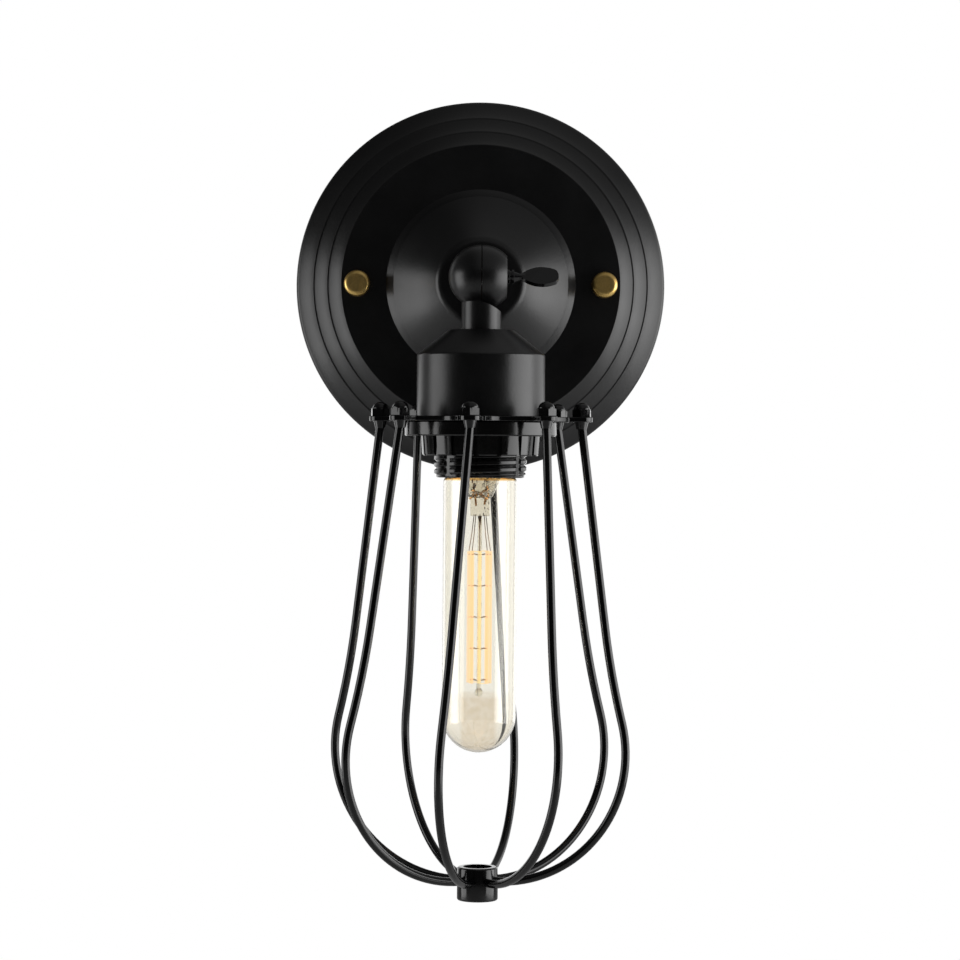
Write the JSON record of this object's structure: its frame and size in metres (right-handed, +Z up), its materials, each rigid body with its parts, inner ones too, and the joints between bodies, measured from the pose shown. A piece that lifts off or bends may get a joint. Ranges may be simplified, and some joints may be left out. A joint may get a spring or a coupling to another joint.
{
  "type": "cage wall light",
  "caption": "Wall light with a round stepped plate, a tilting split-ball knuckle on a short arm, and a bent-wire cage round a tubular filament bulb.",
  "frame": {"origin": "centre of the bracket's two wall slots, on the wall, which is also the centre of the wall plate", "axes": "+X to the right as the light is seen from the room, +Y into the wall, +Z up"},
  "size_m": [0.16, 0.1343, 0.336],
  "materials": {
    "black_satin": "smooth satin black powder coat",
    "black_gloss": "gloss black lacquer",
    "bakelite": "polished black moulding",
    "brass": "polished",
    "zinc_steel": "zinc plated",
    "white_plastic": "moulded",
    "ceramic": "glazed",
    "fibre": "pressed fibre",
    "bulb_glass": "clear with a pale amber tint",
    "stem_glass": "clear",
    "cap_glass": "dark glass",
    "solder": "soldered",
    "filament": "glowing",
    "support_wire": "copper-clad wire"
  },
  "bodies": {
    "wall_side": {"wall_bracket": "zinc_steel", "bracket_studs": "zinc_steel", "earth_screw": "brass", "terminal_block": "white_plastic", "terminal_tubes": "brass", "terminal_screws": "zinc_steel", "block_screws": "zinc_steel", "wall_plate": "black_satin", "cap_nuts": "brass", "wall_nipple": "zinc_steel", "arm_washer": "zinc_steel", "arm_locknut": "zinc_steel", "arm_knuckle": "black_satin"},
    "lamp_head": {"lamp_knuckle": "black_satin", "friction_washer": "fibre", "lamp_nipple": "zinc_steel", "cover_locknut": "zinc_steel", "socket_cover": "black_satin", "lampholder_cap": "bakelite", "lampholder_body": "bakelite", "contact_block": "ceramic", "contact_screws": "zinc_steel", "centre_contact": "brass", "screw_shell": "brass", "shade_ring": "bakelite", "cage_ring": "black_gloss", "cage_hub": "black_gloss", "acorn_nuts": "black_gloss", "rib_1": "black_gloss", "rib_2": "black_gloss", "rib_3": "black_gloss", "rib_4": "black_gloss", "rib_5": "black_gloss", "rib_6": "black_gloss", "rib_7": "black_gloss", "rib_8": "black_gloss"},
    "clamp_screw": {"clamp_washers": "black_gloss", "thumb_screw": "black_gloss"},
    "bulb": {"bulb_cap": "brass", "bulb_insulator": "cap_glass", "bulb_contact": "solder", "bulb_glass": "bulb_glass", "bulb_stem": "stem_glass", "filament_supports": "support_wire", "filament": "filament"}
  },
  "joints": [
    {"name": "lamp_tilt", "type": "hinge", "parent": "wall_side", "child": "lamp_head", "pos_m": [0, -0.073, 0], "axis": [-1, 0, 0], "range_deg": [-2, 180]},
    {"name": "clamp_screw_turn", "type": "hinge", "parent": "lamp_head", "child": "clamp_screw", "pos_m": [0, -0.073, 0], "axis": [1, 0, 0], "range_deg": [0, 360]},
    {"name": "bulb_pull", "type": "slide", "parent": "lamp_head", "child": "bulb", "axis": [0, 0, -1], "range_m": [0, 0.027]}
  ]
}
